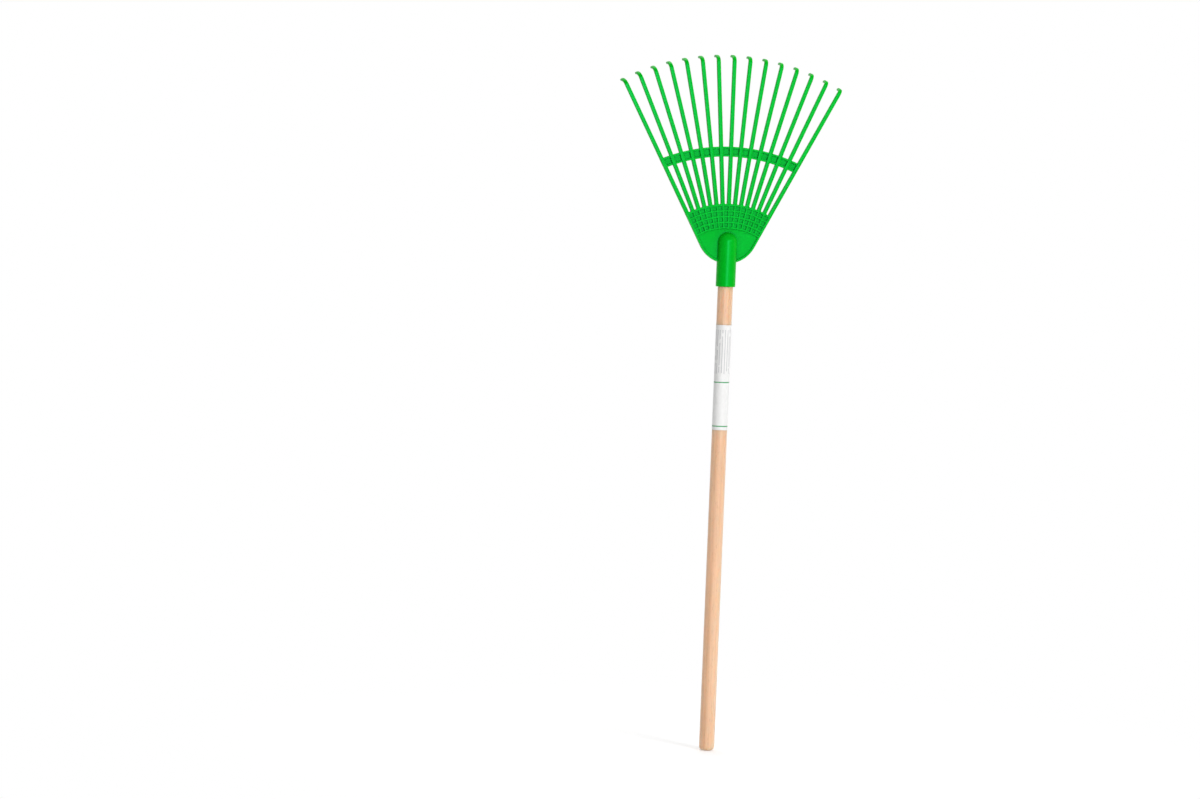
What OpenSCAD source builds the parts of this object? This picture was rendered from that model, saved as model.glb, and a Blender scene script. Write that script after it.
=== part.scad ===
// Child's fan rake: a moulded fan head with hooked tines on a round wooden handle.
// The origin is the middle of the handle's butt face and +Z runs up the handle.
// The front of the head faces -Y and the tine hooks bend back towards +Y.

/* [Handle] */
// Bare length of the handle from its butt face to the socket mouth
handle_length = 488; // [300:1:900]
// Diameter of the wooden dowel
handle_d = 16; // [12:0.5:24]
// Radius of the rounding at the butt end
butt_round = 4; // [1:0.5:5]
// Length of the handle inside the socket
tenon_length = 44; // [20:1:50]
// How much the tenon narrows on each side on its way up
tenon_taper = 0.5; // [0.2:0.1:1]
// Bare wood between the start of the taper and the socket mouth
taper_lead = 1; // [0.5:0.1:3]
// Chamfer at the top end of the tenon
tenon_chamfer = 1.5; // [0.5:0.1:3]

/* [Label] */
// Length of the paper label along the handle
label_length = 110; // [40:1:200]
// Bare wood between the socket mouth and the label
label_drop = 40; // [5:1:100]
// Thickness of the paper
label_thickness = 0.12; // [0.1:0.01:0.3]
// Open seam where the ends of the label nearly meet at the back
label_seam_gap = 1.2; // [0.5:0.1:6]

/* [Socket] */
// Wall of the socket round the handle
socket_wall = 2.2; // [1.6:0.1:4]
// Length of the socket from its mouth to the top of its dome
socket_length = 57; // [54:1:70]
// Rounding of the outer edge at the socket mouth
mouth_round = 0.8; // [0.3:0.1:1.2]
// Gap all round between the handle and the socket bore
bore_clearance = 0.05; // [0.02:0.01:0.2]

/* [Fan] */
// Number of tines
tine_count = 15; // [9:2:21]
// Angle between neighbouring tines
tine_step_angle = 4.03; // [3.6:0.01:4.4]
// Depth of the point where the tine axes meet, below the socket mouth
apex_drop = 8.6; // [2:0.1:15]
// Distance from that point to the tine roots
root_radius = 95; // [92:0.5:110]
// Height of the top of the head above the socket mouth
head_length = 242; // [200:1:320]

/* [Plate] */
// Lowest edge of the plate above the socket mouth
plate_rise = 24.3; // [18:0.1:30]
// Thickness of the plate behind its ribs
web_thickness = 1.8; // [1.2:0.1:3]
// Height of the rim and the ribs above the plate
rib_height = 2.2; // [0.8:0.1:2.5]
// Width of the rim along the sides and the foot of the plate
rim_width = 2.4; // [1.5:0.1:4]
// Width of the top rib of the waffle band, along the tine roots
waffle_head = 1.8; // [1:0.1:3]
// Rows of pockets in the waffle band
waffle_rows = 4; // [2:1:5]
// Spacing of the waffle's cross ribs
waffle_pitch = 5.95; // [5:0.05:6.5]
// Width of the waffle ribs
waffle_rib = 1.3; // [0.8:0.1:2]

/* [Crossbar] */
// Height of the middle of the crossbar above the socket mouth
crossbar_rise = 141; // [120:0.1:170]
// Height of the crossbar from its lower to its upper edge
crossbar_height = 10.5; // [6:0.1:16]
// Radius of the arc that the crossbar follows
crossbar_radius = 185; // [150:1:260]
// Width of the raised edges of the crossbar
crossbar_ridge = 1.5; // [1:0.1:2.5]
// Depth of the channel between its raised edges
crossbar_channel = 0.9; // [0.4:0.1:1.2]
// How far the crossbar stays below the faces of the tines
crossbar_setback = 0.7; // [0.6:0.05:1.1]

/* [Tines] */
// Width of a tine at its root
tine_root_width = 3.7; // [3:0.1:5.2]
// Width of a tine where its hook begins
tine_tip_width = 3.6; // [2.5:0.1:4.5]
// Depth of a tine at its root
tine_root_depth = 4.3; // [3.8:0.1:5.5]
// Depth of a tine where its hook begins
tine_tip_depth = 3.6; // [2.8:0.1:4.5]
// Rounding along the long edges of a tine
tine_round = 0.6; // [0.3:0.05:0.6]
// Radius of the elbow where the hook turns back
elbow_radius = 5; // [4:0.1:10]
// Angle turned through at the elbow
elbow_angle = 68; // [45:1:80]
// Radius of the gentle curve of the claw
claw_radius = 18; // [12:0.5:40]
// Angle turned through along the claw
claw_angle = 30; // [10:1:40]
// Width of the claw at its end
claw_end_width = 2.7; // [1.8:0.1:3.5]
// Depth of the claw at its end
claw_end_depth = 2.3; // [1.8:0.1:3.5]
// Rounding of the end of the claw
claw_end_round = 0.8; // [0.3:0.05:0.85]

/* [Screw] */
// Height of the screw above the socket mouth
screw_rise = 13; // [7:0.5:17]
// Diameter of the screw's shank
screw_d = 3; // [2:0.1:3.5]
// Diameter of the screw's head
screw_head_d = 5.6; // [4.5:0.1:7]
// Height of the screw's domed head
screw_head_height = 1.7; // [1.2:0.1:2.5]
// Depth of the flat seat cut into the socket for the head
screw_seat_depth = 0.9; // [0.6:0.05:1.2]
// Length of the shank inside the handle
screw_bite = 9; // [5:0.5:12]
// Gap all round between the screw and its holes
screw_clearance = 0.05; // [0.02:0.01:0.2]

/* [Hidden] */
$fn = 96;
// Extra length that carries each cut past the surface it opens
cut_overrun = 1;
// Steps along the elbow, the claw, its rounded end and each rounded corner of a tine
elbow_steps = 6;
claw_steps = 4;
end_steps = 2;
corner_steps = 2;
head_colour = [0.0, 0.66, 0.16];
wood_colour = [0.93, 0.77, 0.60];
paper_colour = [0.97, 0.97, 0.96];
screw_colour = [0.75, 0.76, 0.78];

// Handle and socket
handle_r = handle_d / 2;
socket_r = handle_r + bore_clearance + socket_wall;
dome_start = socket_length - socket_r;
taper_start = handle_length - taper_lead;
tenon_top = handle_length + tenon_length;

// Fan, in a plane whose own origin is the point where the tine axes meet
apex_z = handle_length - apex_drop;
edge_angle = tine_step_angle * (tine_count - 1) / 2;
edge_half_width = tine_root_width / 2;
plate_bottom = apex_drop + plate_rise;
foot_centre = (plate_bottom + edge_half_width) / (1 - sin(edge_angle));
foot_radius = foot_centre - plate_bottom;
fan_reach = root_radius + head_length;
crossbar_centre = apex_drop + crossbar_rise - crossbar_radius;
waffle_top = root_radius - waffle_head;
waffle_foot = waffle_top - waffle_rows * waffle_pitch;

// Depths of the plate, which lies about the plane through the handle's axis
plate_back = (web_thickness + rib_height) / 2;
plate_front = -plate_back;
web_front = plate_back - web_thickness;

// Hook path: how far it rises above the end of the straight run and reaches back
hook_angle = elbow_angle + claw_angle;
crest_angle = min(hook_angle, 90);
elbow_rise = elbow_radius * sin(elbow_angle);
elbow_reach = elbow_radius * (1 - cos(elbow_angle));
crest_rise = elbow_rise + claw_radius * (sin(crest_angle) - sin(elbow_angle));
elbow_run = elbow_radius * elbow_angle * PI / 180;
claw_run = claw_radius * claw_angle * PI / 180;
crest_run = elbow_run + claw_run * (crest_angle - elbow_angle) / claw_angle;
crest_depth = hook_depth(crest_run / (elbow_run + claw_run));
straight_end = apex_drop + head_length - crest_rise - crest_depth / 2;

// Screw, which lies along Y at the back of the socket
screw_z = handle_length + screw_rise;
screw_seat_y = socket_r - screw_seat_depth;
screw_hole_d = screw_d + 2 * screw_clearance;
screw_seat_d = screw_head_d + 2 * screw_clearance;
screw_tip_y = handle_r - screw_bite;
screw_crown_r = (pow(screw_head_d / 2, 2) + pow(screw_head_height, 2)) / (2 * screw_head_height);

function tenon_r(z) = handle_r - tenon_taper * (z - taper_start) / (tenon_top - taper_start);
function tine_name(k) = str("tine_", k < 10 ? "0" : "", k);
function tine_angle(k) = tine_step_angle * (k - 1) - edge_angle;
function between(first, last, share) = first + (last - first) * share;
function hook_width(share) = between(tine_tip_width, claw_end_width, share);
function hook_depth(share) = between(tine_tip_depth, claw_end_depth, share);
function depth_at(radius) =
    between(tine_root_depth, tine_tip_depth, (radius - root_radius) / (straight_end - root_radius));

// Rounded rectangle across a tine, as points [across, back]
function section(width, depth, rounding) = [
    for (corner = [0:3], step = [0:corner_steps])
        let (turn = 90 * (corner + step / corner_steps))
        let (side = corner == 0 || corner == 3 ? 1 : -1)
        let (face = corner < 2 ? 1 : -1)
        [
            side * (width / 2 - rounding) + rounding * cos(turn),
            face * (depth / 2 - rounding) + rounding * sin(turn)
        ]
];

// One ring of a tine's loft: a section at a point of the path, square to its heading
function ring(rise, reach, heading, width, depth, rounding) = [
    for (p = section(width, depth, rounding))
        [p[0], reach + p[1] * cos(heading), rise - p[1] * sin(heading)]
];

// Rings along the elbow, the claw and the rounded end of the claw
function elbow_ring(step) =
    let (heading = elbow_angle * step / elbow_steps)
    let (share = elbow_run / (elbow_run + claw_run) * step / elbow_steps)
    ring(
        straight_end + elbow_radius * sin(heading), elbow_radius * (1 - cos(heading)),
        heading, hook_width(share), hook_depth(share), tine_round
    );
function claw_rise(heading) =
    straight_end + elbow_rise + claw_radius * (sin(heading) - sin(elbow_angle));
function claw_reach(heading) =
    elbow_reach + claw_radius * (cos(elbow_angle) - cos(heading));
function claw_ring(step) =
    let (heading = elbow_angle + claw_angle * step / claw_steps)
    let (share = (elbow_run + claw_run * step / claw_steps) / (elbow_run + claw_run))
    ring(claw_rise(heading), claw_reach(heading), heading, hook_width(share), hook_depth(share), tine_round);
function end_ring(step) =
    let (turn = 90 * step / end_steps)
    let (ahead = claw_end_round * sin(turn))
    let (inset = claw_end_round * (1 - cos(turn)))
    ring(
        claw_rise(hook_angle) + ahead * cos(hook_angle), claw_reach(hook_angle) + ahead * sin(hook_angle),
        hook_angle, claw_end_width - 2 * inset, claw_end_depth - 2 * inset,
        min(tine_round, claw_end_depth / 2 - inset)
    );

// Solid through a list of rings that all have the same number of points
module loft(rings) {
    count = len(rings[0]);
    last = len(rings) - 1;
    points = [for (r = rings, p = r) p];
    sides = [
        for (level = [0:last - 1], i = [0:count - 1])
            let (j = (i + 1) % count)
            let (low = level * count)
            let (high = low + count)
            each [[low + i, high + i, high + j], [low + i, high + j, low + j]]
    ];
    foot = [for (i = [0:count - 1]) i];
    top = [for (i = [0:count - 1]) last * count + count - 1 - i];
    polyhedron(points = points, faces = concat([foot, top], sides));
}

// Extrude an outline drawn in the plane of the fan from its front depth to its back depth
module fan_slab(front, back) {
    translate([0, back, apex_z])
        rotate([90, 0, 0])
            linear_extrude(height = back - front)
                children();
}

// Flat ring about the fan's own origin
module flat_ring(inner, outer) {
    difference() {
        circle(r = outer);
        circle(r = inner);
    }
}

// Straight-sided fan with a round foot, drawn in from the plate's edge and open at the top
module fan_outline(inset) {
    radius = foot_radius - inset;
    side_x = radius * cos(edge_angle);
    side_y = foot_centre - radius * sin(edge_angle);
    far_x = side_x + fan_reach * sin(edge_angle);
    far_y = side_y + fan_reach * cos(edge_angle);
    translate([0, foot_centre])
        circle(r = radius);
    polygon([[side_x, side_y], [far_x, far_y], [-far_x, far_y], [-side_x, side_y]]);
}

// Outline of the straight run of a tine, as seen from the front
module tine_outline(k) {
    rotate(-tine_angle(k))
        polygon([
            [-tine_root_width / 2, root_radius],
            [tine_root_width / 2, root_radius],
            [tine_tip_width / 2, straight_end],
            [-tine_tip_width / 2, straight_end]
        ]);
}

// Hollows of the plate's front: the waffle pockets and the smooth field below them
module plate_hollows() {
    difference() {
        intersection() {
            fan_outline(rim_width);
            circle(r = waffle_top);
        }
        for (row = [1:waffle_rows]) {
            inner = waffle_top - row * waffle_pitch;
            flat_ring(inner, inner + waffle_rib);
        }
        for (k = [2:tine_count - 1])
            rotate(-tine_angle(k))
                translate([-waffle_rib / 2, waffle_foot + waffle_rib / 2])
                    square([waffle_rib, root_radius - waffle_foot]);
    }
}

// Band of the crossbar between the two outer tines
module crossbar_band(inset) {
    half = crossbar_height / 2 - inset;
    difference() {
        intersection() {
            translate([0, crossbar_centre])
                flat_ring(crossbar_radius - half, crossbar_radius + half);
            polygon([
                [0, 0],
                [fan_reach * sin(edge_angle), fan_reach * cos(edge_angle)],
                [-fan_reach * sin(edge_angle), fan_reach * cos(edge_angle)]
            ]);
        }
        for (k = [1:tine_count])
            tine_outline(k);
    }
}

// Outer form of the socket: a tube with a rounded mouth edge and a domed top
module socket_body() {
    translate([0, 0, handle_length])
        rotate_extrude() {
            square([socket_r - mouth_round, dome_start]);
            translate([0, mouth_round])
                square([socket_r, dome_start - mouth_round]);
            intersection() {
                translate([socket_r - mouth_round, mouth_round])
                    circle(r = mouth_round);
                square([socket_r, dome_start]);
            }
            intersection() {
                translate([0, dome_start])
                    circle(r = socket_r);
                square([socket_r, socket_length]);
            }
        }
}

// Cylinder along Y on the axis of the screw
module along_screw(from_y, to_y, d) {
    translate([0, to_y, screw_z])
        rotate([90, 0, 0])
            cylinder(h = to_y - from_y, d = d);
}

module handle() {
    chamfer_start = tenon_top - tenon_chamfer;
    color(wood_colour)
        difference() {
            rotate_extrude() {
                square([handle_r - butt_round, handle_length]);
                polygon([
                    [0, butt_round],
                    [handle_r, butt_round],
                    [handle_r, taper_start],
                    [tenon_r(chamfer_start), chamfer_start],
                    [tenon_r(chamfer_start) - tenon_chamfer, tenon_top],
                    [0, tenon_top]
                ]);
                intersection() {
                    translate([handle_r - butt_round, butt_round])
                        circle(r = butt_round);
                    square([handle_r, handle_length]);
                }
            }
            along_screw(screw_tip_y - screw_clearance, handle_r + cut_overrun, screw_hole_d);
        }
}

module label() {
    seam_angle = label_seam_gap / handle_r * 180 / PI;
    color(paper_colour)
        translate([0, 0, handle_length - label_drop - label_length])
            rotate(90 + seam_angle / 2)
                rotate_extrude(angle = 360 - seam_angle)
                    translate([handle_r, 0])
                        square([label_thickness, label_length]);
}

module socket() {
    bore_start = handle_length - cut_overrun;
    bore_end = tenon_top + bore_clearance;
    color(head_colour)
        difference() {
            socket_body();
            translate([0, 0, bore_start])
                cylinder(
                    h = bore_end - bore_start,
                    r1 = tenon_r(bore_start) + bore_clearance,
                    r2 = tenon_r(bore_end) + bore_clearance
                );
            along_screw(0, socket_r, screw_hole_d);
            along_screw(screw_seat_y, socket_r + cut_overrun, screw_seat_d);
        }
}

module fixing_screw() {
    color(screw_colour) {
        along_screw(screw_tip_y, screw_seat_y, screw_d);
        translate([0, screw_seat_y, screw_z])
            rotate([-90, 0, 0])
                rotate_extrude()
                    intersection() {
                        translate([0, screw_head_height - screw_crown_r])
                            circle(r = screw_crown_r);
                        square([screw_head_d / 2, screw_head_height]);
                    }
    }
}

module fan_plate() {
    color(head_colour)
        difference() {
            fan_slab(plate_front, plate_back)
                intersection() {
                    fan_outline(0);
                    circle(r = root_radius);
                }
            fan_slab(plate_front - cut_overrun, web_front)
                plate_hollows();
            socket_body();
        }
}

module crossbar() {
    half_depth = depth_at(apex_drop + crossbar_rise) / 2 - crossbar_setback;
    color(head_colour)
        difference() {
            fan_slab(-half_depth, half_depth)
                crossbar_band(0);
            fan_slab(-half_depth - cut_overrun, -half_depth + crossbar_channel)
                crossbar_band(crossbar_ridge);
        }
}

module tine(k) {
    color(head_colour)
        translate([0, 0, apex_z])
            rotate([0, tine_angle(k), 0])
                loft(concat(
                    [ring(root_radius, 0, 0, tine_root_width, tine_root_depth, tine_round)],
                    [for (step = [0:elbow_steps]) elbow_ring(step)],
                    [for (step = [1:claw_steps]) claw_ring(step)],
                    [for (step = [1:end_steps]) end_ring(step)]
                ));
}

handle();
label();
socket();
fixing_screw();
fan_plate();
crossbar();
for (k = [1:tine_count])
    tine(k);
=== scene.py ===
"""Looks of a child's fan rake: green moulded head, turned wooden handle and paper label.

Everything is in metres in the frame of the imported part: the origin is the middle of the handle's
butt face, +Z runs up the handle, the front of the head faces -Y and the hooks bend towards +Y.
"""

import math

import bmesh
import bpy
from mathutils import Matrix, Vector


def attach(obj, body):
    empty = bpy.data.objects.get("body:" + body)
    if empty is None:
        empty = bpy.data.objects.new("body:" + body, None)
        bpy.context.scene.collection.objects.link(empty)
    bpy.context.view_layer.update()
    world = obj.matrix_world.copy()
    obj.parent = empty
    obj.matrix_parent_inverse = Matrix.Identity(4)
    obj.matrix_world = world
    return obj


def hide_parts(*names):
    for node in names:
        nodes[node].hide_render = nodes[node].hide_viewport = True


MM = 0.001

# Sizes of the part that the scene repeats
HANDLE_LENGTH = 488 * MM
HEAD_LENGTH = 242 * MM
SOCKET_RADIUS = 10.25 * MM
SOCKET_LENGTH = 57 * MM
LABEL_DROP = 40 * MM
LABEL_TOP = HANDLE_LENGTH - LABEL_DROP

# The fan, measured from the point where the tine axes meet
TINE_COUNT = 15
TINE_STEP = math.radians(4.03)
OUTER_TURN = TINE_STEP * (TINE_COUNT - 1) / 2
APEX_DROP = 8.6 * MM
APEX_Z = HANDLE_LENGTH - APEX_DROP
ROOT_RADIUS = 95 * MM
WAFFLE_FOOT = 69.4 * MM
FOOT_CENTRE = 65.93 * MM
FOOT_RADIUS = 33.03 * MM

# The plate's rim, its margin outside the outer tine axes, and its front and floor along Y
RIM_WIDTH = 2.4 * MM
SIDE_MARGIN = 1.85 * MM
PLATE_FRONT = -2 * MM
PLATE_FLOOR = 0.2 * MM

# The crossbar's arc, whose middle stands CROSSBAR_RISE above the bare handle, and its band
CROSSBAR_RISE = 141 * MM
CROSSBAR_RADIUS = 185 * MM
CROSSBAR_CENTRE = APEX_DROP + CROSSBAR_RISE - CROSSBAR_RADIUS
CROSSBAR_HEIGHT = 10.5 * MM
CROSSBAR_HALF_DEPTH = 1.33 * MM

# Fixing screw, whose head sits on a flat at the back of the socket
SCREW_RISE = 13 * MM
SCREW_Z = HANDLE_LENGTH + SCREW_RISE
SCREW_SEAT_Y = 9.35 * MM
SCREW_LENGTH = 10.35 * MM
SCREW_RADIUS = 1.5 * MM
SCREW_POINT = 2.5 * MM
SCREW_HEAD_RADIUS = 2.8 * MM
SCREW_HEAD_HEIGHT = 1.7 * MM

# A tine's sections as (width, depth) at its root, at the start of its hook and at its end.
# The first two are a little wider than in the solids.
ROOT_SECTION = (4.05 * MM, 4.3 * MM)
TIP_SECTION = (3.95 * MM, 3.6 * MM)
CLAW_END_SECTION = (2.7 * MM, 2.3 * MM)
TINE_ROUND = 0.6 * MM
CLAW_END_ROUND = 0.8 * MM

# A hook's path is an elbow and then a claw, and it crests at the head's length
ELBOW_RADIUS = 5 * MM
ELBOW_ANGLE = math.radians(68)
CLAW_RADIUS = 18 * MM
CLAW_ANGLE = math.radians(30)
ELBOW_RUN = ELBOW_RADIUS * ELBOW_ANGLE
HOOK_RUN = ELBOW_RUN + CLAW_RADIUS * CLAW_ANGLE
ELBOW_RISE = ELBOW_RADIUS * math.sin(ELBOW_ANGLE)
ELBOW_REACH = ELBOW_RADIUS * (1 - math.cos(ELBOW_ANGLE))
CREST_SHARE = (ELBOW_RUN + CLAW_RADIUS * (math.pi / 2 - ELBOW_ANGLE)) / HOOK_RUN
CREST_DEPTH = TIP_SECTION[1] + (CLAW_END_SECTION[1] - TIP_SECTION[1]) * CREST_SHARE
CREST_RISE = ELBOW_RISE + CLAW_RADIUS * (1 - math.sin(ELBOW_ANGLE))
STRAIGHT_END = APEX_DROP + HEAD_LENGTH - CREST_RISE - CREST_DEPTH / 2

# A tine's root: a seat sunk in the plate, then fillets at its sides while it rises to full depth
ROOT_FILLET = 1.1 * MM
ROOT_OVERLAP = 1.8 * MM
SEAT_DEPTH = 3.8 * MM
FLUSH_DEPTH = 4.06 * MM

# Roundings that the solids leave square, the ribs' as a share of that on the rim's inner edge
PLATE_ROUND = 0.8 * MM
RIB_ROUND_SHARE = 0.25
CROSSBAR_ROUND = 0.2 * MM

# Forms that differ a little from the solids: shallower hollows, smaller pockets, and a crossbar
# with broader edges and a deeper channel
FLOOR_RAISE = 1.0 * MM
POCKET_TRIM = 0.2 * MM
CROSSBAR_RIDGE = 2.1 * MM
CROSSBAR_CHANNEL = 1.3 * MM

# The screw's thread: half its crest as a share of the pitch, its root as a share of the radius
THREAD_PITCH = 1.2 * MM
THREAD_CREST_SHARE = 0.15
THREAD_ROOT_SHARE = 0.8

# The screw head's brim, drawn in below and lifted off the seat, and the least radius of its crown
BRIM_INSET = 0.15 * MM
BRIM_LIFT = 0.1 * MM
CROWN_RADIUS = 0.02 * MM

# The screw's recess at its foot and above its crown, as (height above the seat, half length, half width)
RECESS_LEVELS = (
    (0.35 * MM, 0.7 * MM, 0.3 * MM),
    (SCREW_HEAD_HEIGHT + 0.5 * MM, 1.5 * MM, 0.42 * MM),
)

# Distances within which points count as one, lie on one level, or lie on a skin or an edge
MERGE_SLACK = 0.005 * MM
LEVEL_SLACK = 0.05 * MM
SKIN_SLACK = 0.1 * MM

# Angle between faces up to which they are merged, and those from which edges are rounded or sharp
MERGE_ANGLE = math.radians(1)
ROUNDED_ANGLE = math.radians(35)
LOFT_SHARP_ANGLE = math.radians(40)
PLATE_SHARP_ANGLE = math.radians(30)
SCREW_SHARP_ANGLE = math.radians(35)

# The normal of a face that looks to the front has less than this along Y
FRONT_NORMAL_Y = -0.99

# Steps of the meshes: round a tine's corners and along its fillet, elbow, claw and end, along the
# crossbar, round the screw and over its crown, and across a rounding of the plate
CORNER_STEPS = 4
FILLET_STEPS = 6
ELBOW_STEPS = 12
CLAW_STEPS = 10
END_STEPS = 5
CROSSBAR_STEPS = 90
SCREW_STEPS = 64
CROWN_STEPS = 12
ROUND_STEPS = 4

# The label's print, measured down from its top edge: a block of broken lines and two stripes
PRINT_MIDDLE = 28 * MM
PRINT_LENGTH = 46 * MM
PRINT_LINES = 18
PRINT_LINE_SHARE = 0.32
PRINT_INK = (0.58, 0.58, 0.59)
STRIPE_DROPS = (60 * MM, 106 * MM)
STRIPE_WIDTH = 1.2 * MM
STRIPE_INK = (0.05, 0.36, 0.12)

# Noise that breaks the lines: its shift from line to line, its scale along them and its level
PRINT_LINE_SHIFT = 3.7
PRINT_BREAK_SCALE = 150
PRINT_BREAK_LEVEL = 0.36

# Painted shade in the plastic's hollows, each as a reach and stops of (open share, shade)
PAINTED_HOLLOW_SHADE = (
    (8 * MM, ((0.45, 0.74), (0.75, 0.86), (0.90, 0.93), (0.98, 1.0))),
    (2 * MM, ((0.50, 0.84), (0.82, 1.0))),
)

# Camera: a long lens slightly to the left of the rake and a little above it
IMAGE_WIDTH = 1200
PIXELS_PER_METRE = 956
SOCKET_MOUTH_PIXEL = (725.4, 286.7)
IMAGE_CENTRE_PIXEL = (600, 399.5)
VIEW_AZIMUTH = math.radians(-14)
VIEW_ELEVATION = math.radians(3)
VIEW_ROLL = math.radians(2.25)
VIEW_DISTANCE = 4.0
VIEW_END = 100
SENSOR_WIDTH = 36

# Light of the surroundings on surfaces, and the point on the head that the front lamps face
WORLD_LIGHT = 0.48
LAMP_AIM = (0, 0, 0.52)

# The floor's half width, the distances over which it fades to white, and the brightness that it
# adds to its lit white where it is seen
FLOOR_HALF = 40.0
FLOOR_FADE = (0.1, 0.6)
FLOOR_LIFT = 0.24


def new_material(name):
    """A new material, its node tree and the shader in it."""
    material = bpy.data.materials.new(name)
    material.use_nodes = True
    return material, material.node_tree, material.node_tree.nodes["Principled BSDF"]


def add_node(tree, kind, **settings):
    """A shader node with its properties and unlinked inputs set by name."""
    node = tree.nodes.new(kind)
    for name, value in settings.items():
        if hasattr(node, name):
            setattr(node, name, value)
        else:
            node.inputs[name].default_value = value
    return node


def calculated(tree, operation, *values):
    """The result of a math node whose inputs are sockets or numbers."""
    node = tree.nodes.new("ShaderNodeMath")
    node.operation = operation
    for socket, value in zip(node.inputs, values):
        if isinstance(value, bpy.types.NodeSocket):
            tree.links.new(value, socket)
        else:
            socket.default_value = value
    return node.outputs["Value"]


def colour_ramp(tree, source, stops):
    """A colour ramp driven by a socket, with stops of (position, colour)."""
    ramp = tree.nodes.new("ShaderNodeValToRGB")
    elements = ramp.color_ramp.elements
    while len(elements) < len(stops):
        elements.new(0.5)
    for element, (position, colour) in zip(elements, stops):
        element.position = position
        element.color = (*colour, 1)
    tree.links.new(source, ramp.inputs["Fac"])
    return ramp.outputs["Color"]


def stretched_coordinates(tree, scale):
    """Object coordinates multiplied along each axis."""
    place = tree.nodes.new("ShaderNodeTexCoord")
    mapping = add_node(tree, "ShaderNodeMapping", Scale=scale)
    tree.links.new(place.outputs["Object"], mapping.inputs["Vector"])
    return mapping.outputs["Vector"]


def noise(tree, coordinates, scale, detail):
    """Noise between 0 and 1 at a scale in cycles per unit of the coordinates."""
    node = add_node(tree, "ShaderNodeTexNoise", Scale=scale, Detail=detail)
    tree.links.new(coordinates, node.inputs["Vector"])
    return node.outputs["Fac"]


def multiplied(tree, colour, layer, share):
    """A colour socket darkened by a second one, wholly or by a share."""
    mix = tree.nodes.new("ShaderNodeMix")
    mix.data_type = "RGBA"
    mix.blend_type = "MULTIPLY"
    mix.inputs["Factor"].default_value = share
    tree.links.new(colour, mix.inputs["A"])
    tree.links.new(layer, mix.inputs["B"])
    return mix.outputs["Result"]


def inked(tree, paper, ink, cover):
    """A colour socket covered by an ink where the cover socket is 1."""
    mix = tree.nodes.new("ShaderNodeMix")
    mix.data_type = "RGBA"
    mix.inputs["B"].default_value = (*ink, 1)
    tree.links.new(cover, mix.inputs["Factor"])
    tree.links.new(paper, mix.inputs["A"])
    return mix.outputs["Result"]


def add_bump(tree, shader, height, strength, distance):
    """Bump on a shader from a height socket."""
    bump = add_node(tree, "ShaderNodeBump", Strength=strength, Distance=distance)
    tree.links.new(height, bump.inputs["Height"])
    tree.links.new(bump.outputs["Normal"], shader.inputs["Normal"])


def moulded_plastic():
    """Bright green semi-gloss plastic with faint flow clouds, painted shade in its hollows and a fine
    moulded skin.
    """
    material, tree, shader = new_material("head_plastic")
    place = stretched_coordinates(tree, (1, 1, 1))
    clouds = noise(tree, place, 45, detail=3)
    colour = colour_ramp(tree, clouds, [(0.3, (0.0, 0.435, 0.008)), (0.7, (0.0, 0.475, 0.012))])
    # Painted shade: ambient occlusion darkens the colour in pockets, channels and corners
    for reach, shades in PAINTED_HOLLOW_SHADE:
        hollow = add_node(tree, "ShaderNodeAmbientOcclusion", samples=16, Distance=reach)
        painted_shade_stops = [(open_share, (shade, shade, shade)) for open_share, shade in shades]
        colour = multiplied(tree, colour, colour_ramp(tree, hollow.outputs["AO"], painted_shade_stops), 1.0)
    tree.links.new(colour, shader.inputs["Base Color"])
    skin = noise(tree, place, 900, detail=2)
    gloss = colour_ramp(tree, skin, [(0.3, (0.34, 0.34, 0.34)), (0.7, (0.39, 0.39, 0.39))])
    tree.links.new(gloss, shader.inputs["Roughness"])
    shader.inputs["Specular IOR Level"].default_value = 0.15
    shader.inputs["Specular Tint"].default_value = (0.06, 1.0, 0.45, 1)
    add_bump(tree, shader, skin, 0.12, 0.1 * MM)
    return material


def turned_wood():
    """Pale close-grained hardwood: soft growth bands, fine streaks and small dark flecks."""
    material, tree, shader = new_material("handle_wood")
    bands = noise(tree, stretched_coordinates(tree, (260, 90, 3)), 1, detail=2)
    streaks = noise(tree, stretched_coordinates(tree, (1600, 1600, 22)), 1, detail=3)
    flecks = noise(tree, stretched_coordinates(tree, (2600, 2600, 170)), 1, detail=1)
    base = colour_ramp(tree, bands, [(0.3, (0.80, 0.50, 0.30)), (0.7, (0.92, 0.63, 0.41))])
    streak_colour = colour_ramp(tree, streaks, [(0.3, (0.80, 0.76, 0.72)), (0.6, (1, 1, 1))])
    fleck_colour = colour_ramp(tree, flecks, [(0.28, (0.62, 0.50, 0.42)), (0.36, (1, 1, 1))])
    streaked = multiplied(tree, base, streak_colour, 0.6)
    tree.links.new(multiplied(tree, streaked, fleck_colour, 0.55), shader.inputs["Base Color"])
    shader.inputs["Roughness"].default_value = 0.5
    shader.inputs["Specular IOR Level"].default_value = 0.35
    shader.inputs["Subsurface Weight"].default_value = 1.0
    shader.inputs["Subsurface Radius"].default_value = (1, 0.8, 0.6)
    shader.inputs["Subsurface Scale"].default_value = 8 * MM
    shader.inputs["Sheen Weight"].default_value = 0.35
    shader.inputs["Sheen Roughness"].default_value = 0.6
    add_bump(tree, shader, streaks, 0.15, 0.2 * MM)
    return material


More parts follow.
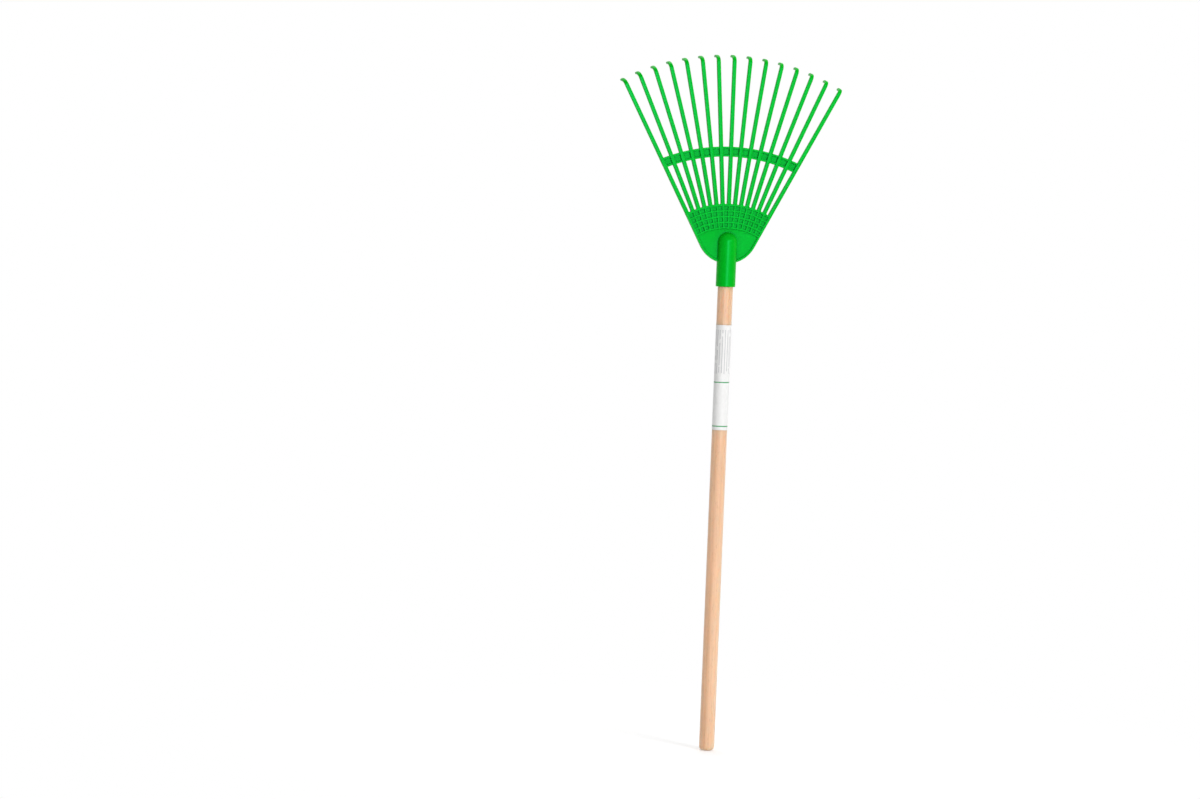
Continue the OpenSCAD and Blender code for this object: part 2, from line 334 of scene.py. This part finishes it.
def label_paper():
    """White paper with a faint fibre, broken grey lines without letters and two green stripes."""
    material, tree, shader = new_material("label_paper")
    fibre = noise(tree, stretched_coordinates(tree, (700, 700, 260)), 1, detail=4)
    paper = colour_ramp(tree, fibre, [(0.3, (0.84, 0.84, 0.83)), (0.7, (0.90, 0.90, 0.89))])
    place = tree.nodes.new("ShaderNodeSeparateXYZ")
    tree.links.new(stretched_coordinates(tree, (1, 1, 1)), place.inputs["Vector"])
    drop = calculated(tree, "SUBTRACT", LABEL_TOP, place.outputs["Z"])
    turn = calculated(tree, "ARCTAN2", place.outputs["Y"], place.outputs["X"])
    lines = calculated(tree, "MULTIPLY", turn, PRINT_LINES / (2 * math.pi))
    line_number = calculated(tree, "FLOOR", lines)
    line_share = calculated(tree, "FRACT", lines)
    on_line = calculated(tree, "COMPARE", line_share, 0.5, PRINT_LINE_SHARE / 2)
    in_block = calculated(tree, "COMPARE", drop, PRINT_MIDDLE, PRINT_LENGTH / 2)
    spot = tree.nodes.new("ShaderNodeCombineXYZ")
    tree.links.new(calculated(tree, "MULTIPLY", line_number, PRINT_LINE_SHIFT), spot.inputs["X"])
    tree.links.new(calculated(tree, "MULTIPLY", drop, PRINT_BREAK_SCALE), spot.inputs["Z"])
    breaks = noise(tree, spot.outputs["Vector"], 1, detail=0)
    unbroken = calculated(tree, "GREATER_THAN", breaks, PRINT_BREAK_LEVEL)
    broken_lines = calculated(tree, "MULTIPLY", on_line, unbroken)
    print_cover = calculated(tree, "MULTIPLY", broken_lines, in_block)
    printed = inked(tree, paper, PRINT_INK, print_cover)
    stripes = [calculated(tree, "COMPARE", drop, stripe, STRIPE_WIDTH / 2) for stripe in STRIPE_DROPS]
    striped = inked(tree, printed, STRIPE_INK, calculated(tree, "MAXIMUM", *stripes))
    tree.links.new(striped, shader.inputs["Base Color"])
    shader.inputs["Roughness"].default_value = 0.55
    shader.inputs["Specular IOR Level"].default_value = 0.2
    shader.inputs["Sheen Weight"].default_value = 0.25
    shader.inputs["Sheen Roughness"].default_value = 0.6
    add_bump(tree, shader, fibre, 0.1, 0.1 * MM)
    return material


def plated_steel():
    """Zinc plated steel with a fine uneven sheen."""
    material, tree, shader = new_material("screw_steel")
    grain = noise(tree, stretched_coordinates(tree, (1, 1, 1)), 2500, detail=2)
    gloss = colour_ramp(tree, grain, [(0.3, (0.26, 0.26, 0.26)), (0.7, (0.42, 0.42, 0.42))])
    tree.links.new(gloss, shader.inputs["Roughness"])
    shader.inputs["Base Color"].default_value = (0.62, 0.63, 0.65, 1)
    shader.inputs["Metallic"].default_value = 1
    return material


def dress(obj, material):
    """Give an object one material in place of those it has."""
    obj.data.materials.clear()
    obj.data.materials.append(material)


def new_piece(name, mesh, material, slot, *replaced):
    """A piece on the part's one body that stands for some of its nodes."""
    piece = bpy.data.objects.new(name, mesh)
    bpy.context.scene.collection.objects.link(piece)
    dress(piece, material)
    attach(piece, "root")
    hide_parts(*replaced)
    return piece


def loft_mesh(name, rings):
    """A closed skin through rings of equally many points, with flat ends."""
    count = len(rings[0])
    points = [point for ring in rings for point in ring]
    faces = [tuple(range(count - 1, -1, -1))]
    for level in range(len(rings) - 1):
        low = level * count
        for i in range(count):
            j = (i + 1) % count
            faces.append((low + i, low + j, low + count + j, low + count + i))
    last = (len(rings) - 1) * count
    faces.append(tuple(range(last, last + count)))
    mesh = bpy.data.meshes.new(name)
    mesh.from_pydata(points, [], faces)
    mesh.shade_smooth()
    mesh.set_sharp_from_angle(angle=LOFT_SHARP_ANGLE)
    return mesh


def rounded_rectangle(width, depth, rounding):
    """Points round a rectangle with round corners, counter-clockwise from its right side."""
    points = []
    for corner, (side, face) in enumerate(((1, 1), (-1, 1), (-1, -1), (1, -1))):
        for step in range(CORNER_STEPS + 1):
            turn = math.pi / 2 * (corner + step / CORNER_STEPS)
            points.append((
                side * (width / 2 - rounding) + rounding * math.cos(turn),
                face * (depth / 2 - rounding) + rounding * math.sin(turn),
            ))
    return points


def blend(first, last, share):
    """A pair of numbers part of the way between two pairs."""
    return tuple(a + (b - a) * share for a, b in zip(first, last))


def tine_ring(rise, reach, heading, section, rounding):
    """A section of a tine at a point of its path, square to the way the path heads there."""
    return [
        Vector((across, reach + back * math.cos(heading), rise - back * math.sin(heading)))
        for across, back in rounded_rectangle(*section, rounding)
    ]


def tine_rings():
    """Sections of one upright tine from its root to the rounded end of its hook."""
    root_width, root_depth = ROOT_SECTION
    seat = (root_width, SEAT_DEPTH)
    rings = [tine_ring(ROOT_RADIUS - ROOT_OVERLAP, 0, 0, seat, TINE_ROUND)]
    for step in range(FILLET_STEPS + 1):
        turn = math.pi / 2 * step / FILLET_STEPS
        above = ROOT_FILLET * (1 - math.cos(turn))
        flare = ROOT_FILLET * (1 - math.sin(turn))
        depth = FLUSH_DEPTH + (root_depth - FLUSH_DEPTH) * step / FILLET_STEPS
        section = (root_width + 2 * flare, depth)
        rings.append(tine_ring(ROOT_RADIUS + above, 0, 0, section, TINE_ROUND))
    for step in range(ELBOW_STEPS + 1):
        heading = ELBOW_ANGLE * step / ELBOW_STEPS
        share = ELBOW_RUN / HOOK_RUN * step / ELBOW_STEPS
        section = blend(TIP_SECTION, CLAW_END_SECTION, share)
        rise = STRAIGHT_END + ELBOW_RADIUS * math.sin(heading)
        reach = ELBOW_RADIUS * (1 - math.cos(heading))
        rings.append(tine_ring(rise, reach, heading, section, TINE_ROUND))
    for step in range(1, CLAW_STEPS + 1):
        heading = ELBOW_ANGLE + CLAW_ANGLE * step / CLAW_STEPS
        share = (ELBOW_RUN + CLAW_RADIUS * CLAW_ANGLE * step / CLAW_STEPS) / HOOK_RUN
        section = blend(TIP_SECTION, CLAW_END_SECTION, share)
        claw_rise = CLAW_RADIUS * (math.sin(heading) - math.sin(ELBOW_ANGLE))
        claw_reach = CLAW_RADIUS * (math.cos(ELBOW_ANGLE) - math.cos(heading))
        rise = STRAIGHT_END + ELBOW_RISE + claw_rise
        reach = ELBOW_REACH + claw_reach
        rings.append(tine_ring(rise, reach, heading, section, TINE_ROUND))
    for step in range(1, END_STEPS + 1):
        turn = math.pi / 2 * step / END_STEPS
        ahead = CLAW_END_ROUND * math.sin(turn)
        inset = CLAW_END_ROUND * (1 - math.cos(turn))
        section = tuple(size - 2 * inset for size in CLAW_END_SECTION)
        rounding = min(TINE_ROUND, section[1] / 2)
        end_rise = rise + ahead * math.cos(heading)
        end_reach = reach + ahead * math.sin(heading)
        rings.append(tine_ring(end_rise, end_reach, heading, section, rounding))
    return rings


def add_tines(material):
    """Fifteen hooked tines, each turned about the point where their axes meet.

    The outer two stay flush with the sides of the plate, so their extra width lies inwards.
    """
    inwards = ROOT_SECTION[0] / 2 - SIDE_MARGIN
    for number in range(1, TINE_COUNT + 1):
        turn = TINE_STEP * (number - (TINE_COUNT + 1) / 2)
        place = Matrix.Translation((0, 0, APEX_Z)) @ Matrix.Rotation(turn, 4, "Y")
        rings = tine_rings()
        for point in (point for ring in rings for point in ring):
            if number == 1:
                point.x = max(point.x + inwards, -SIDE_MARGIN)
            if number == TINE_COUNT:
                point.x = min(point.x - inwards, SIDE_MARGIN)
        node = f"tine_{number:02d}"
        mesh = loft_mesh(node, [[place @ point for point in ring] for ring in rings])
        new_piece(f"moulded_{node}", mesh, material, "head_plastic", node)


def crossbar_section():
    """Outline of the crossbar across its arc as (outwards, back), with raised edges in front."""
    half = CROSSBAR_HEIGHT / 2
    inner = half - CROSSBAR_RIDGE
    deep = CROSSBAR_HALF_DEPTH
    floor = -deep + CROSSBAR_CHANNEL
    soft = CROSSBAR_ROUND
    outline = [
        (half - soft, deep),
        (half, deep - soft),
        (half, -deep + soft),
        (half - soft, -deep),
        (inner + soft, -deep),
        (inner, -deep + soft),
        (inner - soft / 2, floor),
    ]
    mirrored = [(-out, back) for out, back in reversed(outline)]
    return outline + mirrored


def add_crossbar(material):
    """A channelled band along its arc, from the outer tine on one side to that on the other."""
    half_angle = OUTER_TURN + math.asin(CROSSBAR_CENTRE * math.sin(OUTER_TURN) / CROSSBAR_RADIUS)
    section = crossbar_section()
    rings = []
    for step in range(CROSSBAR_STEPS + 1):
        turn = half_angle * (2 * step / CROSSBAR_STEPS - 1)
        ring = []
        for out, back in section:
            radius = CROSSBAR_RADIUS + out
            rise = APEX_Z + CROSSBAR_CENTRE + radius * math.cos(turn)
            ring.append(Vector((radius * math.sin(turn), back, rise)))
        rings.append(ring)
    mesh = loft_mesh("crossbar", rings)
    new_piece("moulded_crossbar", mesh, material, "head_plastic", "crossbar")


def on_socket(point):
    """Whether a point lies on the outer skin of the socket."""
    dome_z = HANDLE_LENGTH + SOCKET_LENGTH - SOCKET_RADIUS
    from_axis = Vector((point.x, point.y, max(0.0, point.z - dome_z))).length
    return abs(from_axis - SOCKET_RADIUS) < SKIN_SLACK


def on_rim_edge(point):
    """Whether a point lies on the front inner edge of the plate's rim, at its sides or its foot."""
    across = abs(point.x)
    above = point.z - APEX_Z - FOOT_CENTRE
    side = above * math.sin(OUTER_TURN) - across * math.cos(OUTER_TURN)
    along = above * math.cos(OUTER_TURN) + across * math.sin(OUTER_TURN)
    inset = FOOT_RADIUS + side
    if along < 0 or above < -FOOT_RADIUS * math.sin(OUTER_TURN):
        inset = FOOT_RADIUS - math.hypot(across, above)
    in_front = abs(point.y - PLATE_FRONT) < LEVEL_SLACK
    return in_front and abs(inset - RIM_WIDTH) < SKIN_SLACK


def plan_key(point):
    """A point's place on the plate as whole hundredths of a millimetre."""
    return round(point.x / MM * 100), round(point.z / MM * 100)


def pocket_moves(face):
    """Shifts that draw a pocket's corners in towards its middle, by their place on the plate."""
    middle = face.calc_center_median()
    middle_radius = math.hypot(middle.x, middle.z - APEX_Z)
    moves = {}
    for vertex in face.verts:
        outwards = Vector((vertex.co.x, 0, vertex.co.z - APEX_Z))
        sideways = Vector((outwards.z, 0, -outwards.x))
        along = 1 if outwards.length < middle_radius else -1
        across = 1 if sideways.dot(middle - vertex.co) > 0 else -1
        shift = outwards.normalized() * along + sideways.normalized() * across
        moves[plan_key(vertex.co)] = shift * POCKET_TRIM
    return moves


def shape_hollows(shape):
    """Make the plate's field and pockets shallower, and the pockets a little smaller."""
    facing = [face for face in shape.faces if face.normal.y < FRONT_NORMAL_Y]
    floors = [
        face for face in facing
        if abs(face.calc_center_median().y - PLATE_FLOOR) < LEVEL_SLACK
    ]
    moves = {}
    for face in floors:
        middle = face.calc_center_median()
        if math.hypot(middle.x, middle.z - APEX_Z) > WAFFLE_FOOT:
            moves.update(pocket_moves(face))
    sunk = {vertex for face in floors for vertex in face.verts}
    for vertex in shape.verts:
        if vertex.co.y < PLATE_FLOOR + LEVEL_SLACK:
            vertex.co += moves.get(plan_key(vertex.co), Vector((0, 0, 0)))
    for vertex in sunk:
        vertex.co.y -= FLOOR_RAISE


def add_plate(node, material):
    """The fan plate with the edges of its rim, ribs and pockets rounded as a mould leaves them."""
    mesh = node.data.copy()
    shape = bmesh.new()
    shape.from_mesh(mesh)
    bmesh.ops.remove_doubles(shape, verts=shape.verts, dist=MERGE_SLACK)
    bmesh.ops.dissolve_limit(shape, angle_limit=MERGE_ANGLE, verts=shape.verts, edges=shape.edges)
    shape_hollows(shape)
    weights = shape.edges.layers.float.new("bevel_weight_edge")
    for edge in shape.edges:
        if len(edge.link_faces) != 2 or edge.calc_face_angle() < ROUNDED_ANGLE:
            continue
        if all(on_socket(vertex.co) for vertex in edge.verts):
            continue
        on_rim = all(on_rim_edge(vertex.co) for vertex in edge.verts)
        edge[weights] = 1.0 if on_rim else RIB_ROUND_SHARE
    shape.to_mesh(mesh)
    shape.free()
    mesh.shade_smooth()
    mesh.set_sharp_from_angle(angle=PLATE_SHARP_ANGLE)
    piece = new_piece("moulded_plate", mesh, material, "head_plastic", "fan_plate")
    bevel = piece.modifiers.new("rounding", "BEVEL")
    bevel.limit_method = "WEIGHT"
    bevel.width = PLATE_ROUND
    bevel.segments = ROUND_STEPS
    bevel.use_clamp_overlap = False
    bevel.harden_normals = True


def screw_outline():
    """Half outline of the screw from its tip to its crown, as (radius, distance from the tip)."""
    outline = [(SCREW_RADIUS * share, SCREW_POINT * share) for share in (0.02, 0.5, 1.0)]
    turns = int((SCREW_LENGTH - SCREW_POINT) / THREAD_PITCH)
    for turn in range(turns):
        base = SCREW_POINT + turn * THREAD_PITCH
        outline.append((SCREW_RADIUS, base + THREAD_CREST_SHARE * THREAD_PITCH))
        outline.append((SCREW_RADIUS * THREAD_ROOT_SHARE, base + THREAD_PITCH / 2))
        outline.append((SCREW_RADIUS, base + (1 - THREAD_CREST_SHARE) * THREAD_PITCH))
    outline.append((SCREW_RADIUS, SCREW_LENGTH))
    outline.append((SCREW_HEAD_RADIUS - BRIM_INSET, SCREW_LENGTH))
    crown = (SCREW_HEAD_RADIUS ** 2 + SCREW_HEAD_HEIGHT ** 2) / (2 * SCREW_HEAD_HEIGHT)
    slope = math.asin(SCREW_HEAD_RADIUS / crown)
    for step in range(CROWN_STEPS + 1):
        lean = slope * (1 - step / CROWN_STEPS)
        radius = max(crown * math.sin(lean), CROWN_RADIUS)
        height = SCREW_LENGTH + SCREW_HEAD_HEIGHT - crown * (1 - math.cos(lean))
        outline.append((radius, height + BRIM_LIFT * (lean / slope) ** 4))
    return outline


def cross_cutter():
    """Two crossed tapering blades that cut the recess into the screw's head."""
    shape = bmesh.new()
    for quarter in range(2):
        turn = Matrix.Rotation(quarter * math.pi / 2, 3, "Z")
        corners = []
        for height, long, thin in RECESS_LEVELS:
            for side, face in ((1, 1), (-1, 1), (-1, -1), (1, -1)):
                point = Vector((side * long, face * thin, SCREW_LENGTH + height))
                corners.append(shape.verts.new(turn @ point))
        shape.faces.new(corners[3::-1])
        shape.faces.new(corners[4:])
        for i in range(4):
            j = (i + 1) % 4
            shape.faces.new((corners[i], corners[j], corners[4 + j], corners[4 + i]))
    mesh = bpy.data.meshes.new("cross_cutter")
    shape.to_mesh(mesh)
    shape.free()
    return bpy.data.objects.new("cross_cutter", mesh)


def add_screw(material):
    """A pan head screw with a cross recess, lying along Y in its seat at the back of the socket."""
    turns = [2 * math.pi * step / SCREW_STEPS for step in range(SCREW_STEPS)]
    rings = [
        [Vector((radius * math.cos(turn), radius * math.sin(turn), height)) for turn in turns]
        for radius, height in screw_outline()
    ]
    blank = bpy.data.objects.new("screw_blank", loft_mesh("screw_blank", rings))
    cutter = cross_cutter()
    for helper in (blank, cutter):
        bpy.context.scene.collection.objects.link(helper)
    recess = blank.modifiers.new("recess", "BOOLEAN")
    recess.operation = "DIFFERENCE"
    recess.solver = "EXACT"
    recess.object = cutter
    recess.use_self = True
    graph = bpy.context.evaluated_depsgraph_get()
    mesh = bpy.data.meshes.new_from_object(blank.evaluated_get(graph))
    for helper in (blank, cutter):
        bpy.data.objects.remove(helper)
    seat = Matrix.Translation((0, SCREW_SEAT_Y - SCREW_LENGTH, SCREW_Z))
    mesh.transform(seat @ Matrix.Rotation(-math.pi / 2, 4, "X"))
    mesh.shade_smooth()
    mesh.set_sharp_from_angle(angle=SCREW_SHARP_ANGLE)
    new_piece("driven_screw", mesh, material, "screw_steel", "fixing_screw")


def add_camera():
    """A camera that puts the socket mouth at its pixel and leans the rake by the view's roll."""
    back = Vector((
        math.sin(VIEW_AZIMUTH) * math.cos(VIEW_ELEVATION),
        -math.cos(VIEW_AZIMUTH) * math.cos(VIEW_ELEVATION),
        math.sin(VIEW_ELEVATION),
    ))
    level = Vector((math.cos(VIEW_AZIMUTH), math.sin(VIEW_AZIMUTH), 0))
    upright = back.cross(level)
    right = level * math.cos(VIEW_ROLL) + upright * math.sin(VIEW_ROLL)
    up = upright * math.cos(VIEW_ROLL) - level * math.sin(VIEW_ROLL)
    across = (SOCKET_MOUTH_PIXEL[0] - IMAGE_CENTRE_PIXEL[0]) / PIXELS_PER_METRE
    above = (IMAGE_CENTRE_PIXEL[1] - SOCKET_MOUTH_PIXEL[1]) / PIXELS_PER_METRE
    target = Vector((0, 0, HANDLE_LENGTH)) - right * across - up * above
    data = bpy.data.cameras.new("camera")
    data.sensor_width = SENSOR_WIDTH
    data.lens = PIXELS_PER_METRE * VIEW_DISTANCE * SENSOR_WIDTH / IMAGE_WIDTH
    data.clip_end = VIEW_END
    camera = bpy.data.objects.new("camera", data)
    bpy.context.scene.collection.objects.link(camera)
    turn = Matrix((right, up, back)).transposed().to_4x4()
    camera.matrix_world = Matrix.Translation(target + back * VIEW_DISTANCE) @ turn
    bpy.context.scene.camera = camera


def seen_directly(tree):
    """A socket that is 1 for camera, glossy and transmission rays and 0 for light on surfaces."""
    path = tree.nodes.new("ShaderNodeLightPath")
    total = path.outputs["Is Camera Ray"]
    for name in ("Is Glossy Ray", "Is Transmission Ray"):
        total = calculated(tree, "MAXIMUM", total, path.outputs[name])
    return total


def add_world():
    """Soft white surroundings: white where they are seen, and a plain level of light elsewhere."""
    world = bpy.data.worlds.new("studio")
    bpy.context.scene.world = world
    world.use_nodes = True
    tree = world.node_tree
    light = tree.nodes["Background"]
    light.inputs["Color"].default_value = (1, 1, 1, 1)
    light.inputs["Strength"].default_value = WORLD_LIGHT
    seen = add_node(tree, "ShaderNodeBackground", Color=(1, 1, 1, 1), Strength=1.0)
    mix = tree.nodes.new("ShaderNodeMixShader")
    tree.links.new(seen_directly(tree), mix.inputs["Fac"])
    tree.links.new(light.outputs["Background"], mix.inputs[1])
    tree.links.new(seen.outputs["Background"], mix.inputs[2])
    tree.links.new(mix.outputs["Shader"], tree.nodes["World Output"].inputs["Surface"])


def add_lamp(name, place, aim, size, power, gloss_only=False):
    """A soft box turned towards a point, that lights surfaces or only shows in their gloss."""
    data = bpy.data.lights.new(name, "AREA")
    data.shape = "RECTANGLE"
    data.size, data.size_y = size
    data.energy = power
    lamp = bpy.data.objects.new(name, data)
    bpy.context.scene.collection.objects.link(lamp)
    lamp.location = place
    lamp.rotation_mode = "QUATERNION"
    lamp.rotation_quaternion = (Vector(aim) - Vector(place)).to_track_quat("-Z", "Y")
    lamp.visible_diffuse = not gloss_only


def floor_material():
    """White that keeps the rake's shadow near it and fades into the background further out."""
    material, tree, shader = new_material("floor")
    place = stretched_coordinates(tree, (1, 1, 1))
    mottle = noise(tree, place, 3, detail=2)
    colour = colour_ramp(tree, mottle, [(0.3, (0.86, 0.86, 0.86)), (0.7, (0.88, 0.88, 0.88))])
    tree.links.new(colour, shader.inputs["Base Color"])
    shader.inputs["Roughness"].default_value = 0.9
    shader.inputs["Emission Color"].default_value = (1, 1, 1, 1)
    lift = calculated(tree, "MULTIPLY", seen_directly(tree), FLOOR_LIFT)
    tree.links.new(lift, shader.inputs["Emission Strength"])
    glow = add_node(tree, "ShaderNodeEmission", Color=(1, 1, 1, 1), Strength=1.0)
    distance = add_node(tree, "ShaderNodeVectorMath", operation="LENGTH")
    tree.links.new(place, distance.inputs[0])
    fade = add_node(tree, "ShaderNodeMapRange", interpolation_type="SMOOTHSTEP")
    fade.inputs["From Min"].default_value = FLOOR_FADE[0]
    fade.inputs["From Max"].default_value = FLOOR_FADE[1]
    tree.links.new(distance.outputs["Value"], fade.inputs["Value"])
    white = calculated(tree, "MULTIPLY", fade.outputs["Result"], seen_directly(tree))
    mix = tree.nodes.new("ShaderNodeMixShader")
    tree.links.new(white, mix.inputs["Fac"])
    tree.links.new(shader.outputs["BSDF"], mix.inputs[1])
    tree.links.new(glow.outputs["Emission"], mix.inputs[2])
    tree.links.new(mix.outputs["Shader"], tree.nodes["Material Output"].inputs["Surface"])
    return material


def add_floor():
    """A wide flat floor at the level of the handle's butt."""
    corners = [(x * FLOOR_HALF, y * FLOOR_HALF, 0) for x, y in ((-1, -1), (1, -1), (1, 1), (-1, 1))]
    mesh = bpy.data.meshes.new("floor")
    mesh.from_pydata(corners, [], [(0, 1, 2, 3)])
    floor = bpy.data.objects.new("floor", mesh)
    bpy.context.scene.collection.objects.link(floor)
    dress(floor, floor_material())


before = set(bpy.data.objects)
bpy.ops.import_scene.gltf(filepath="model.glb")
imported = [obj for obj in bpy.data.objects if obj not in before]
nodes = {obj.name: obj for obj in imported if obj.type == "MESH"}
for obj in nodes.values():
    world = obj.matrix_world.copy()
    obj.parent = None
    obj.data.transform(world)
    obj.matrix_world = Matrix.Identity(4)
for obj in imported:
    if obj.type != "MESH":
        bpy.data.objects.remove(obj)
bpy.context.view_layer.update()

bpy.context.scene.view_settings.view_transform = "Standard"
add_camera()
add_world()
add_lamp("key", (1.05, -2.5, 1.2), LAMP_AIM, size=(0.8, 0.8), power=36)
add_lamp("overhead", (0, 0.6, 2.2), (0, 0, 0.6), size=(1.0, 1.0), power=15)
add_lamp("strip", (-0.05, -2.8, 0.62), LAMP_AIM, size=(0.25, 1.0), power=45, gloss_only=True)
add_lamp("glint", (-0.05, -2.8, 0.82), LAMP_AIM, size=(0.25, 0.3), power=54, gloss_only=True)
add_floor()

plastic = moulded_plastic()
finishes = {"handle": turned_wood(), "label": label_paper(), "fixing_screw": plated_steel()}
for name, node in nodes.items():
    dress(node, finishes.get(name, plastic))
add_tines(plastic)
add_crossbar(plastic)
add_plate(nodes["fan_plate"], plastic)
add_screw(finishes["fixing_screw"])
